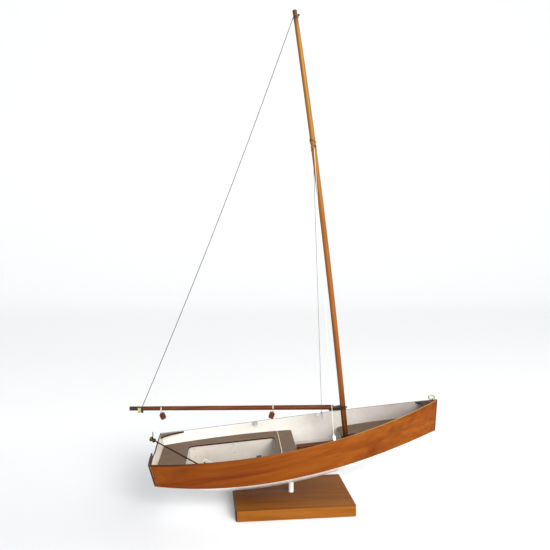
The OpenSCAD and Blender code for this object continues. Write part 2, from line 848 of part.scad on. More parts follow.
// wire from a turn round the masthead to a turn round the boom
module boom_wire() {
  head_r = mast_radius(head_z) + wire_r + 0.25;
  low = on_boom(wire_at) + [0, 0, boom_radius(wire_at) + 0.2];
  color(steel) boat() {
    swing_frame(head_z) ring(head_r, wire_r);
    bar(low, head + [-head_r, 0, 0], wire_r, wire_r);
  }
}

module wire_seizing() {
  r = boom_radius(wire_at);
  color("#3a342e") boat() boom_frame() translate([wire_at, 0, 0]) {
    rotate([0, 90, 0]) tube(r + 0.8, r + gap, 2.6);
    translate([0, 0, -r - 1.75]) sphere(1.7);
  }
}

module outhaul_whipping() {
  r = boom_radius(whipping_at);
  color("#cfc49c") boat() boom_frame() translate([whipping_at, 0, 0]) {
    rotate([0, 90, 0]) tube(r + 0.5, r + gap, 6.4);
    translate([0.4, 0, -r - 5]) cylinder(h = 5, r = 0.6);
  }
}

// loop of cord round the boom, with an eye below it for a block's tongue
module block_strop(d) {
  r = boom_radius(d);
  eye_top = 2 * strop_eye - pivot_drop;
  translate(on_boom(d)) {
    rotate([0, 90 + boom_peak, 0]) ring(r + 0.6, cord_r);
    translate([0, 0, strop_eye - pivot_drop]) rotate([0, 90, 0]) ring(strop_eye, strop_r);
    translate([0, 0, eye_top]) cylinder(h = -r - 0.6 - eye_top, r = strop_r);
  }
}

module block_strops() {
  color(cord_white) boat() {
    block_strop(aft_block_at);
    block_strop(fore_block_at);
  }
}

// places children at a block's pivot, hanging down at its rest tilt
module at_block(d, tilt) {
  boat() translate(on_boom(d) - [0, 0, pivot_drop]) rotate([0, tilt, 0]) children();
}

// wooden shell with a slot for the sheave, and the tongue it hangs by
module block_shell() {
  difference() {
    union() {
      rotate([90, 0, 0]) linear_extrude(tongue_t, center = true) {
        circle(tongue_r);
        translate([-tongue_r, -shell_half]) square([2 * tongue_r, shell_half]);
      }
      translate([0, 0, -sheave_drop]) rotate([90, 0, 0]) linear_extrude(shell_t, center = true) {
        square([2 * shell_half, shell_h - 2 * shell_corner], center = true);
        square([2 * (shell_half - shell_corner), shell_h], center = true);
        for (x = [-1, 1]) for (z = [-1, 1])
          translate([x * (shell_half - shell_corner), z * (shell_h / 2 - shell_corner)]) circle(shell_corner);
      }
    }
    rotate([90, 0, 0]) cylinder(h = shell_t, r = tongue_hole, center = true);
    translate([0, 0, -sheave_drop]) {
      cube([3 * shell_half, sheave_t + 0.4, 2 * sheave_r + 0.8], center = true);
      rotate([90, 0, 0]) cylinder(h = shell_t + 2, r = pin_r, center = true);
    }
  }
}

module block_sheave() {
  groove = 0.7;
  translate([0, 0, -sheave_drop]) rotate([90, 0, 0]) rotate_extrude() difference() {
    translate([pin_r + run, -sheave_t / 2]) square([sheave_r - pin_r - run, sheave_t]);
    translate([sheave_r + 0.2, 0]) circle(groove, $fn = 24);
  }
}

module aft_block_shell() {
  color("#6e4020") at_block(aft_block_at, aft_tilt) block_shell();
}

module fore_block_shell() {
  color("#6a2618") at_block(fore_block_at, fore_tilt) block_shell();
}

module aft_block_sheave() {
  color(brass) at_block(aft_block_at, aft_tilt) block_sheave();
}

module fore_block_sheave() {
  color(brass) at_block(fore_block_at, fore_tilt) block_sheave();
}

module block_pin() {
  translate([0, 0, -sheave_drop]) rotate([90, 0, 0]) cylinder(h = shell_t, r = pin_r, center = true);
}

module aft_block_pin() {
  color(steel) at_block(aft_block_at, aft_tilt) block_pin();
}

module fore_block_pin() {
  color(steel) at_block(fore_block_at, fore_tilt) block_pin();
}

// ---- loose gear in the boat ----------------------------------------------------
// places children with z along the tiller, starting at its aft end
module tiller_frame() {
  aft = tiller_a - tiller_tail * tiller_dir;
  boat() translate(aft) rotate([0, acos(tiller_dir[2]), atan2(tiller_dir[1], tiller_dir[0])]) children();
}

module tiller_rod() {
  color("#43291a") tiller_frame() cylinder(h = tiller_l, r = tiller_r);
}

// turned brass spool on the tiller's aft end
spool_l = 10.4;
spool_r = 4.6;
waist_r = 3;

module tiller_ferrule() {
  color(brass) tiller_frame() rotate_extrude() translate([0, -spool_l - gap]) polygon([[0, 0],
    [spool_r - 0.8, 0], [spool_r, 0.8], [spool_r, 2.6], [waist_r + 0.6, 3.6], [waist_r, 4.4],
    [waist_r, 6.6], [waist_r + 0.6, 7.2], [spool_r - 0.5, 8], [spool_r - 0.5, 9.4],
    [waist_r, spool_l], [0, spool_l]]);
}

module tiller_pin() {
  at = tiller_a - (tiller_tail + spool_l / 2) * tiller_dir;
  color(steel) boat() translate(at) bar([0, 0, waist_r - 1], [2.6, 0, waist_r + 11.5], 0.8, 0.8);
}

// sheet thrown over the thwart and down into the well
sheet_path = [[229, 84, 1.3], [230, 60, 1.3], [228.5, 30, 1.3], [227, 0, 1.3], [225.5, -22, 1.3],
  [222.8, -32, 1.4], [220.8, -35, 0.9], [219.6, -37, -4], [217, -38, -20]];

module mainsheet() {
  steps = 3;
  n = len(sheet_path);
  smooth = [for (i = [0:n - 2]) for (j = [0:steps - 1]) let (k = j / steps)
    sheet_path[i] * (1 - k) + sheet_path[i + 1] * k];
  color(cord_white) boat() line([for (p = smooth) [p[0], p[1], p[2] + seat_z(p[0])]], 0.95);
}

stand_base();
stand_post();
stand_screw();
peg_block();
hog();
stem();
transom();
transom_cap();
port_side();
starboard_side();
port_bottom();
starboard_bottom();
chine_logs();
seat_risings();
port_bench();
starboard_bench();
stern_bench();
centre_thwart();
side_bench_fronts();
stern_bench_front();
thwart_bulkhead();
mast_deck();
deck_bulkhead();
panel_pins();
breasthook();
quarter_knee();
case_port_cheek();
case_starboard_cheek();
case_posts();
centreboard();
centreboard_pin();
mast_step();
mast();
masthead_truck();
masthead_pin();
hounds_lashing();
port_shroud();
starboard_shroud();
shroud_deadeyes();
rowlock_pads();
bow_eye();
bow_ring();
boom();
boom_jaws();
parrel();
boom_wire();
wire_seizing();
outhaul_whipping();
block_strops();
aft_block_shell();
aft_block_sheave();
fore_block_shell();
fore_block_sheave();
aft_block_pin();
fore_block_pin();
tiller_rod();
tiller_ferrule();
tiller_pin();
mainsheet();
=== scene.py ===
"""Looks for the display model of a sailing dinghy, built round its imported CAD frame."""

import json
import math

import bpy
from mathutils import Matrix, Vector


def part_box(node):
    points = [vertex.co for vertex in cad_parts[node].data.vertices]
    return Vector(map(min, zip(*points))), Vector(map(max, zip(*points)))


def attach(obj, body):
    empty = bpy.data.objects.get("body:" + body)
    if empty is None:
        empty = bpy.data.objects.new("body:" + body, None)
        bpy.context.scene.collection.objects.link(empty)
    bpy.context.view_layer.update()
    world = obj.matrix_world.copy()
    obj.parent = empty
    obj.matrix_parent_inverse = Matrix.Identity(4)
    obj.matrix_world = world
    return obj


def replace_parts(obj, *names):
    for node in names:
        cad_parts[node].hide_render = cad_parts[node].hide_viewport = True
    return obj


MM = 0.001

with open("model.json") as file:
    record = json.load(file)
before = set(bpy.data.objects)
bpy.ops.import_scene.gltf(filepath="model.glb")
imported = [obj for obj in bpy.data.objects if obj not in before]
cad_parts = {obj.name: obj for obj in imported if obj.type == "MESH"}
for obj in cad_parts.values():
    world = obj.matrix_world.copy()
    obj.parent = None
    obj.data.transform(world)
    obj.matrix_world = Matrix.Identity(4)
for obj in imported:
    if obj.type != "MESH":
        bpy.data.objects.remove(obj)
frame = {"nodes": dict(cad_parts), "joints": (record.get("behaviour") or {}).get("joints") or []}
nodes = frame["nodes"]
joints = {j["name"]: j for j in frame["joints"]}
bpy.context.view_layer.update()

# ---- the boat's own frame, tilted bow-up on the stand ------------------------------
boat_x = Vector(joints["bow_ring_swing"]["axis"])
boat_y = Vector((0, 1, 0))
boat_z = boat_x.cross(boat_y)
trim = math.atan2(boat_x.z, boat_x.x)      # the bow-up tilt


def farthest(name, direction):
    """The vertex of a CAD node that lies farthest in a direction."""
    return max((v.co for v in nodes[name].data.vertices), key=direction.dot).copy()


def reach(name, direction):
    """How far a CAD node goes in a direction, in metres."""
    return direction.dot(farthest(name, direction))


def end_centre(name, direction):
    """Middle of the end face of a spar."""
    face_depth = 0.5 * MM
    limit = reach(name, direction) - face_depth
    face = [v.co for v in nodes[name].data.vertices if direction.dot(v.co) > limit]
    return sum(face, Vector()) / len(face)


stern_end = -reach("port_side", -boat_x)
bow_end = reach("port_side", boat_x)
boat_origin = -boat_x * reach("transom", -boat_x) + boat_z * reach("transom", boat_z)


def boat(x, y, z):
    """A point in the boat's frame, in millimetres from the top of the transom."""
    return boat_origin + (boat_x * x + boat_y * y + boat_z * z) * MM


def top_at(name, x):
    """Height of a CAD node's top near length x, in millimetres in the boat's frame."""
    places = [v.co - boat_origin for v in nodes[name].data.vertices]
    nearest = min(places, key=lambda p: (round(abs(p.dot(boat_x) / MM - x), 1), -p.dot(boat_z)))
    return nearest.dot(boat_z) / MM


# ---- material building --------------------------------------------------------------
COAT_ROUGHNESS = 0.25


class Shader:
    """A procedural material and short ways to add nodes to it."""

    def __init__(self, name, rotate=0.0):
        """rotate turns the texture space about y, so that grain can follow the tilted boat."""
        self.material = bpy.data.materials.new(name)
        self.material.use_nodes = True
        self.tree = self.material.node_tree
        self.bsdf = self.tree.nodes["Principled BSDF"]
        coords = self.add("ShaderNodeTexCoord")
        turn = self.add("ShaderNodeMapping")
        turn.inputs["Rotation"].default_value = (0, rotate, 0)
        self.link(coords.outputs["Object"], turn.inputs["Vector"])
        self.place = turn.outputs["Vector"]

    def add(self, kind):
        return self.tree.nodes.new(kind)

    def link(self, out, into):
        self.tree.links.new(out, into)

    def feed(self, value, into):
        """Links a socket, or sets a plain value."""
        if isinstance(value, bpy.types.NodeSocket):
            self.link(value, into)
        else:
            into.default_value = value

    def stretched(self, scale):
        """Texture space scaled along each axis."""
        mapping = self.add("ShaderNodeMapping")
        mapping.inputs["Scale"].default_value = scale
        self.link(self.place, mapping.inputs["Vector"])
        return mapping.outputs["Vector"]

    def noise(self, scale, detail=4.0, rough=0.6, warp=0.0):
        """Noise with so many features per metre along each axis."""
        node = self.add("ShaderNodeTexNoise")
        node.inputs["Scale"].default_value = 1.0
        node.inputs["Detail"].default_value = detail
        node.inputs["Roughness"].default_value = rough
        node.inputs["Distortion"].default_value = warp
        self.link(self.stretched(scale), node.inputs["Vector"])
        return node.outputs["Fac"]

    def math(self, operation, a, b=0.0):
        node = self.add("ShaderNodeMath")
        node.operation = operation
        self.feed(a, node.inputs[0])
        self.feed(b, node.inputs[1])
        return node.outputs[0]

    def ramp(self, value, low, high):
        """0 below low, 1 above high."""
        node = self.add("ShaderNodeMapRange")
        self.feed(value, node.inputs["Value"])
        node.inputs["From Min"].default_value = low
        node.inputs["From Max"].default_value = high
        return node.outputs["Result"]

    def mix(self, share, a, b):
        """Colour a where share is 0 and b where it is 1."""
        node = self.add("ShaderNodeMix")
        node.data_type = "RGBA"
        self.feed(share, node.inputs["Factor"])
        self.feed(colour(a), node.inputs["A"])
        self.feed(colour(b), node.inputs["B"])
        return node.outputs["Result"]

    def axis(self, source, direction):
        """Length of a vector socket along a direction."""
        node = self.add("ShaderNodeVectorMath")
        node.operation = "DOT_PRODUCT"
        self.link(source, node.inputs[0])
        node.inputs[1].default_value = direction
        return node.outputs["Value"]

    def facing(self, direction, low=0.4, high=0.6):
        """1 where the surface faces a direction."""
        normal = self.add("ShaderNodeNewGeometry").outputs["True Normal"]
        return self.ramp(self.axis(normal, direction), low, high)

    def position(self, direction, low, high):
        """0 to 1 from one distance along a direction to another."""
        coords = self.add("ShaderNodeTexCoord")
        return self.ramp(self.axis(coords.outputs["Object"], direction), low, high)

    def bump(self, height, depth, strength=1.0):
        """Fine relief from a height socket, up to depth metres."""
        node = self.add("ShaderNodeBump")
        node.inputs["Distance"].default_value = depth
        node.inputs["Strength"].default_value = strength
        self.link(height, node.inputs["Height"])
        self.link(node.outputs["Normal"], self.bsdf.inputs["Normal"])

    def finish(self, base, rough, coat=0.0, metal=0.0, shine=0.12):
        """Feeds the surface's inputs and gives the material."""
        self.feed(colour(base), self.bsdf.inputs["Base Color"])
        self.feed(rough, self.bsdf.inputs["Roughness"])
        self.feed(coat, self.bsdf.inputs["Coat Weight"])
        self.feed(COAT_ROUGHNESS, self.bsdf.inputs["Coat Roughness"])
        self.feed(metal, self.bsdf.inputs["Metallic"])
        self.feed(shine, self.bsdf.inputs["Specular IOR Level"])
        return self.material


def colour(value):
    """Linear RGBA from an sRGB hex string; anything else passes through."""
    if not isinstance(value, str):
        return value
    channels = [int(value[i : i + 2], 16) / 255 for i in (1, 3, 5)]
    return [c / 12.92 if c <= 0.04045 else ((c + 0.055) / 1.055) ** 2.4 for c in channels] + [1.0]


# noise scales, per metre, for grain that runs along one axis
ALONG_X = (6, 260, 260)
ALONG_Y = (260, 6, 260)
ALONG_Z = (260, 260, 6)
PLANK_GRAIN = (7, 110, 110)


def grained(shader, dark, light, run=ALONG_X):
    """Colour of bare or varnished wood, and its fine grain for a bump."""
    fine_share, broad_share = 0.4, 0.6
    broad_scale = 0.3
    fine = shader.noise(run, detail=8, rough=0.6, warp=0.3)
    broad = shader.noise(tuple(s * broad_scale for s in run), detail=4, warp=0.9)
    figure = shader.math("ADD", shader.math("MULTIPLY", fine, fine_share),
                         shader.math("MULTIPLY", broad, broad_share))
    return shader.mix(shader.ramp(figure, 0.38, 0.62), dark, light), fine


def wood(name, dark, light, rough=0.45, coat=0.04, run=ALONG_X, rotate=0.0):
    """Varnished wood of one kind, or bare wood if coat is 0."""
    shader = Shader(name, rotate)
    base, fine = grained(shader, dark, light, run)
    shader.bump(fine, 0.12 * MM, 0.4)
    return shader.finish(base, rough, coat)


def brushed_paint(shader, shade, worn, wear=0.3):
    """Hand-brushed paint along the boat, with some wear, and its brush strokes."""
    strokes = shader.noise((30, 500, 500), detail=5)
    blotches = shader.noise((28, 28, 28), detail=5, rough=0.7)
    tone = shader.mix(shader.ramp(blotches, 0.35, 0.7), shade, worn)
    tone = shader.mix(shader.math("MULTIPLY", shader.ramp(strokes, 0.3, 0.8), wear), tone, worn)
    return tone, strokes


def paint(name, shade, worn, rough=0.5, edge=None):
    """Painted board; edge is the colour given to its upright edges as painted shade."""
    shader = Shader(name, trim)
    base, strokes = brushed_paint(shader, shade, worn)
    if edge:
        base = shader.mix(shader.facing(boat_z, 0.5, 0.7), edge, base)
    shader.bump(strokes, 0.1 * MM, 0.4)
    return shader.finish(base, rough)


def topside(name, side, edge_aft, edge_fore):
    """Varnished outside, with a dark band along the quarter, and painted inside, with painted shade
    darkening the inside forward.

    side is +1 for port. edge_aft and edge_fore are the colours of the top edge, which carry painted light
    and shade along with its varnish.
    """
    shader = Shader(name, trim)
    forward = shader.position(boat_x, stern_end, bow_end)
    aft_tone, fine = grained(shader, "#642a08", "#82420e", PLANK_GRAIN)
    fore_tone, fine = grained(shader, "#6c3006", "#8c4c12", PLANK_GRAIN)
    varnished = shader.mix(shader.ramp(forward, 0.15, 0.75), aft_tone, fore_tone)
    sheer_slope = 0.105
    rail = (boat_z + boat_x * sheer_slope).normalized()
    top = rail.dot(boat_origin)
    quarter_band = shader.math("MULTIPLY", shader.position(rail, top - 4 * MM, top - 2 * MM),
                               shader.ramp(forward, 0.22, 0.06))
    varnished = shader.mix(quarter_band, varnished, "#3c180a")
    inside, strokes = brushed_paint(shader, "#f2eee6", "#e4ded4", 0.2)
    # painted shade: a darker copy of the inside paint, blended in toward the bow
    shaded, strokes = brushed_paint(shader, "#b8aea6", "#a89f97", 0.2)
    inside = shader.mix(shader.ramp(forward, 0.5, 0.85), inside, shaded)
    base = shader.mix(shader.facing(boat_y * side, 0.2, 0.3), inside, varnished)
    # the top edge's colours include painted light and shade
    edge = shader.mix(shader.ramp(forward, 0.3, 0.8), edge_aft, edge_fore)
    base = shader.mix(shader.facing(boat_z, 0.6, 0.8), base, edge)
    shader.bump(fine, 0.1 * MM, 0.3)
    return shader.finish(base, 0.45, 0.0, shine=0.06)


def bottom_paint(name):
    """White enamel outside, cream inside."""
    shader = Shader(name, trim)
    inside, strokes = brushed_paint(shader, "#cfc7bc", "#bfb7ae", 0.2)
    outside = shader.mix(shader.noise((20, 20, 20)), "#fefefd", "#faf9f6")
    shader.bump(strokes, 0.08 * MM, 0.3)
    return shader.finish(shader.mix(shader.facing((0, 0, -1), 0.0, 0.1), inside, outside), 0.35, 0.05)


def transom_wood(name):
    """Dark varnish, apart from the cream inner face."""
    shader = Shader(name, trim)
    varnished, fine = grained(shader, "#2c160c", "#5c3018", ALONG_Y)
    inside, strokes = brushed_paint(shader, "#eee4d2", "#dcd2c2", 0.2)
    shader.bump(fine, 0.1 * MM, 0.4)
    return shader.finish(shader.mix(shader.facing(boat_x), varnished, inside), 0.45, 0.04)


def mast_wood(name):
    """Yellow-orange aloft, orange-brown below, darker at the foot and at the head."""
    shader = Shader(name, trim)
    low, high = (corner.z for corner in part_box("mast"))
    rise = shader.position((0, 0, 1), low, high)
    upper, fine = grained(shader, "#784a10", "#a47232", ALONG_Z)
    lower, fine = grained(shader, "#6a3408", "#9a5c22", ALONG_Z)
    foot, fine = grained(shader, "#321406", "#5a2c10", ALONG_Z)
    head, fine = grained(shader, "#4e2c1c", "#74482e", ALONG_Z)
    base = shader.mix(shader.ramp(rise, 0.4, 0.75), lower, upper)
    base = shader.mix(shader.ramp(rise, 0.0, 0.14), foot, base)
    base = shader.mix(shader.ramp(rise, 0.965, 0.985), base, head)
    shader.bump(fine, 0.1 * MM, 0.3)
    return shader.finish(base, 0.4, 0.06)


def boom_wood(name):
    """Red-brown varnish, darker aft of the outhaul."""
    shader = Shader(name, trim)
    main, fine = grained(shader, "#48200e", "#6e3a1c")
    end, fine = grained(shader, "#341c18", "#4c2e28")
    outhaul = -reach("outhaul_whipping", -boat_x)
    forward = shader.position(boat_x, outhaul, outhaul + 2 * MM)
    shader.bump(fine, 0.12 * MM, 0.4)
    return shader.finish(shader.mix(forward, end, main), 0.45, 0.04)


def pad_paint(name):
    """Worn pale grey to port, and dark brown to starboard, the dark brown being painted shade on the pad
    that lies in the near gunwale's shade.
    """
    shader = Shader(name, trim)
    port, strokes = brushed_paint(shader, "#dcdeda", "#a4a6a8", 0.4)
    # painted shade: the starboard pad's dark brown
    starboard, strokes = brushed_paint(shader, "#5a4c3e", "#3c3128", 0.4)
    shader.bump(strokes, 0.1 * MM, 0.4)
    return shader.finish(shader.mix(shader.position((0, 1, 0), -0.01, 0.01), starboard, port), 0.5)


def base_wood(name):
    """Varnished base board, redder and lighter at its edges; its darker top is partly painted shade from the
    hull above, and its left end is painted near black as painted shade.
    """
    shader = Shader(name)
    top, fine = grained(shader, "#66380c", "#865016", (4, 60, 60))
    side, fine = grained(shader, "#74400e", "#945a20", (6, 120, 120))
    shader.bump(fine, 0.12 * MM, 0.3)
    # painted shade: the left end face is painted near black
    ends = shader.mix(shader.facing((-1, 0, 0)), side, "#33200f")
    return shader.finish(shader.mix(shader.facing((0, 0, 1)), ends, top), 0.45, shine=0.05)


def metal(name, shade, dull, rough=0.35, shine=1.0):
    """Tarnished metal; a lower shine makes it greyer and duller."""
    shader = Shader(name)
    spots = shader.noise((900, 900, 900), detail=5)
    base = shader.mix(shader.ramp(spots, 0.4, 0.7), shade, dull)
    shader.bump(spots, 0.05 * MM, 0.3)
    uneven = shader.math("ADD", shader.math("MULTIPLY", spots, 0.3), rough - 0.1)
    return shader.finish(base, uneven, metal=shine)


def cord(name, shade, shadow):
    """Twisted fibres, with painted shade in the hollows between them."""
    shader = Shader(name)
    fibres = shader.noise((2500, 2500, 2500), detail=3)
    shader.bump(fibres, 0.1 * MM, 0.6)
    return shader.finish(shader.mix(fibres, shadow, shade), 0.9)


def enamel(name, shade, worn):
    """Smooth gloss paint or plastic, slightly dulled in spots."""
    shader = Shader(name)
    spots = shader.noise((120, 120, 120), detail=5)
    shader.bump(spots, 0.05 * MM, 0.3)
    return shader.finish(shader.mix(shader.ramp(spots, 0.4, 0.75), shade, worn), 0.3, 0.3)


# ---- edges ---------------------------------------------------------------------------
def smoothing_group(angle):
    """Geometry nodes that shade smooth across every edge gentler than angle."""
    group = bpy.data.node_groups.new("smooth_by_angle", "GeometryNodeTree")
    group.interface.new_socket("Geometry", in_out="INPUT", socket_type="NodeSocketGeometry")
    group.interface.new_socket("Geometry", in_out="OUTPUT", socket_type="NodeSocketGeometry")
    start = group.nodes.new("NodeGroupInput")
    end = group.nodes.new("NodeGroupOutput")
    faces = group.nodes.new("GeometryNodeSetShadeSmooth")
    edges = group.nodes.new("GeometryNodeSetShadeSmooth")
    edges.domain = "EDGE"
    edges.inputs["Shade Smooth"].default_value = False
    bend = group.nodes.new("GeometryNodeInputMeshEdgeAngle")
    sharp = group.nodes.new("FunctionNodeCompare")
    sharp.operation = "GREATER_THAN"
    sharp.inputs["B"].default_value = math.radians(angle)
    links = group.links
    links.new(start.outputs[0], faces.inputs["Geometry"])
    links.new(faces.outputs["Geometry"], edges.inputs["Geometry"])
    links.new(bend.outputs["Unsigned Angle"], sharp.inputs["A"])
    links.new(sharp.outputs["Result"], edges.inputs["Selection"])
    links.new(edges.outputs["Geometry"], end.inputs[0])
    return group


SMOOTH_BELOW = 32       # degrees between faces that still shade as one surface
EASE_ABOVE = 40         # degrees between faces whose edge is eased
WELD_WITHIN = 0.002 * MM
smooth_by_angle = smoothing_group(SMOOTH_BELOW)


def soften(obj, width):
    """Joins split vertices, eases the hard edges and shades the rest smooth."""
    weld = obj.modifiers.new("weld", "WELD")
    weld.merge_threshold = WELD_WITHIN
    if width:
        ease = obj.modifiers.new("ease", "BEVEL")
        ease.width = width
        ease.segments = 2
        ease.limit_method = "ANGLE"
        ease.angle_limit = math.radians(EASE_ABOVE)
    shade = obj.modifiers.new("shade", "NODES")
    shade.node_group = smooth_by_angle
    if width:
        flat = obj.modifiers.new("flat", "WEIGHTED_NORMAL")
        flat.keep_sharp = True


def dress(material, width, *names):
    """Gives CAD nodes a material and eased edges."""
    for name in names:
        obj = nodes[name]
        obj.data.materials.clear()
        obj.data.materials.append(material)
        soften(obj, width)


# ---- cordage ---------------------------------------------------------------------------
def smooth_path(points, spacing, closed=False):
    """Points close together on a smooth curve through the given ones."""
    n = len(points)
    spans = n if closed else n - 1
    steps = [points[(i + 1) % n] - points[i] for i in range(spans)]
    lengths = [step.length for step in steps]
    ways = [step / length for step, length in zip(steps, lengths)]
    slopes = []
    for i in range(n):
        if closed or 0 < i < n - 1:
            before, after = lengths[i - 1], lengths[i % spans]
            slopes.append((ways[i - 1] * after + ways[i % spans] * before) / (before + after))
        else:
            slopes.append(ways[0] if i == 0 else ways[-1])
    path = []
    for i in range(spans):
        start, end, length = points[i], points[(i + 1) % n], lengths[i]
        count = max(1, round(length / spacing))
        for j in range(count):
            t = j / count
            path.append(start * (2 * t ** 3 - 3 * t ** 2 + 1) + end * (3 * t ** 2 - 2 * t ** 3)
                        + slopes[i] * length * (t ** 3 - 2 * t ** 2 + t)
                        + slopes[(i + 1) % n] * length * (t ** 3 - t ** 2))
    if not closed:
        path.append(points[-1].copy())
    return path


def piece(name, verts, faces, material, body):
    """A new mesh with the given material that rides on a CAD body."""
    mesh = bpy.data.meshes.new(name)
    mesh.from_pydata(verts, [], faces)
    mesh.materials.append(material)
    obj = bpy.data.objects.new(name, mesh)
    bpy.context.scene.collection.objects.link(obj)
    soften(obj, 0.0)
    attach(obj, body)
    return obj


STRANDS = 3
GROOVE = 0.14           # depth of the grooves between strands, as a share of the radius
FINE_LAY = 3 * MM       # length of one twist of the thin cords
BEDDED = 0.9            # a cord's centre stands this share of its radius off what it is wound on


def rope(name, material, body, radius, points, lay=0.0, closed=False):
    """A laid rope, or a smooth wire if lay is 0, along a smooth curve through points."""
    sides = 12 if lay else 8
    path = smooth_path(points, lay / 6 if lay else 3 * radius, closed)
    last = len(path) - 1
    length = sum((b - a).length for a, b in zip(path, path[1:]))
    turns = max(1, round(length / lay)) if lay else 0
    verts, travelled = [], 0.0
    normal = (path[1] - path[0]).orthogonal().normalized()
    for i, point in enumerate(path):
        ahead = path[(i + 1) % len(path)] if closed else path[min(i + 1, last)]
        behind = path[i - 1] if closed else path[max(i - 1, 0)]
        along = (ahead - behind).normalized()
        normal = (normal - along * normal.dot(along)).normalized()
        across = along.cross(normal)
        travelled += (point - path[max(i - 1, 0)]).length
        twist = 2 * math.pi * turns * travelled / length
        for j in range(sides):
            angle = 2 * math.pi * j / sides
            bulge = 1 - GROOVE + GROOVE * math.cos(STRANDS * angle - twist) if lay else 1.0
            verts.append(point + radius * bulge * (normal * math.cos(angle) + across * math.sin(angle)))
    rings = len(path)
    faces = []
    for i in range(rings if closed else rings - 1):
        for j in range(sides):
            k = (j + 1) % sides
            m = (i + 1) % rings
            faces.append((i * sides + j, i * sides + k, m * sides + k, m * sides + j))
    if not closed:
        faces.append(tuple(reversed(range(sides))))
        faces.append(tuple(range((rings - 1) * sides, rings * sides)))
    return piece(name, verts, faces, material, body)


def loop_points(centre, axis, radius, tilt=0.0, count=24):
    """A ring about an axis, tipped by tilt degrees so that it climbs along the axis."""
    out = axis.cross(boat_y).normalized()
    rise = math.tan(math.radians(tilt))
    ring = []
    for i in range(count):
        a = 2 * math.pi * i / count
        ring.append(centre + radius * (out * math.cos(a) + boat_y * math.sin(a) + axis * rise * math.cos(a)))
    return ring


def knot(name, material, body, centre, size, cord_radius):
    """A small ball of cord: a closed line wound over a sphere."""
    count = 60
    winds = 5
    spread = 0.7
    points = []
    for i in range(count):
        a = 2 * math.pi * i / count
        lift = math.sin(winds * a) * spread
        flat = math.sqrt(1 - lift * lift)
        points.append(centre + size * Vector((flat * math.cos(2 * a), flat * math.sin(2 * a), lift)))
    return rope(name, material, body, cord_radius, points, closed=True)


# ---- finishes --------------------------------------------------------------------------
# the seats' upright edges get a dark brown as painted shade
seat = paint("seat_paint", "#6c5643", "#7c6551", 0.55, edge="#341c12")
cream = paint("cream_paint", "#d6cdc2", "#c6bdb4", 0.45)
grey = paint("grey_paint", "#ccd0c4", "#b4b8ac", 0.5)
brown_cap = paint("brown_cap_paint", "#543c32", "#3c2a22", 0.6)
case_wood = wood("case_wood", "#48200a", "#8a4418", rotate=trim)
red_wood = wood("mahogany", "#381408", "#6e2e12", rotate=trim)
bare = wood("bare_wood", "#7a5a36", "#a58355", 0.7, 0.0, rotate=trim)
dark = wood("dark_wood", "#1a100c", "#382620", 0.5, rotate=trim)
block_wood = wood("block_wood", "#3c180a", "#682e16", run=(90, 90, 90))
rope_cream = cord("cord", "#f4ecd8", "#cfc2a2")
# a darker copy of the cream cord, as painted shade
rope_shaded = cord("shaded_cord", "#a9a292", "#6e685c")
rope_olive = cord("olive_cord", "#d2c896", "#9a9062")
rope_tan = cord("tan_cord", "#b8803e", "#7a4a1e")
rope_black = cord("tarred_cord", "#4a4230", "#1e1a12")
rope_dark = cord("dark_cord", "#4a2a16", "#24140c")
white = enamel("white_enamel", "#f8f6f2", "#e8e5de")
brass = metal("brass", "#6e5e2a", "#2e2612", 0.4)
pale_brass = metal("pale_brass", "#c8c68e", "#8a8a50", 0.45, 0.6)
steel = metal("steel", "#343432", "#1e1e1c", 0.5, 0.5)

dress(base_wood("base_wood"), 0.8 * MM, "stand_base")
dress(white, 0.2 * MM, "stand_post")
# port top edge: dark varnish, darkened further as painted shade
dress(topside("port_topside", 1, "#26140a", "#341e10"), 0.25 * MM, "port_side")
# starboard top edge: dark aft, and a pale tan forward as a painted highlight
dress(topside("starboard_topside", -1, "#4a3020", "#d8a468"), 0.25 * MM, "starboard_side")
dress(bottom_paint("bottom_paint"), 0.0, "port_bottom", "starboard_bottom")
dress(transom_wood("transom_wood"), 0.3 * MM, "transom")
dress(brown_cap, 0.3 * MM, "transom_cap")
dress(red_wood, 0.3 * MM, "stem")
dress(case_wood, 0.3 * MM, "case_port_cheek", "case_starboard_cheek", "case_posts", "centreboard")
dress(bare, 0.2 * MM, "hog", "peg_block")
dress(cream, 0.2 * MM, "side_bench_fronts", "stern_bench_front", "chine_logs", "seat_risings")
dress(grey, 0.2 * MM, "thwart_bulkhead", "deck_bulkhead")
dress(pad_paint("pad_paint"), 0.4 * MM, "rowlock_pads")
dress(seat, 0.4 * MM, "port_bench", "starboard_bench", "stern_bench", "centre_thwart", "mast_deck",
      "quarter_knee")
dress(dark, 0.2 * MM, "mast_step", "boom_jaws", "parrel", "masthead_pin", "tiller_rod")
dress(mast_wood("mast_wood"), 0.0, "mast", "masthead_truck")
dress(boom_wood("boom_wood"), 0.3 * MM, "boom")
dress(block_wood, 0.5 * MM, "aft_block_shell", "fore_block_shell")
dress(brass, 0.1 * MM, "bow_eye", "tiller_ferrule", "centreboard_pin", "aft_block_sheave",
      "fore_block_sheave")
dress(steel, 0.0, "stand_screw", "panel_pins", "tiller_pin", "aft_block_pin", "fore_block_pin")


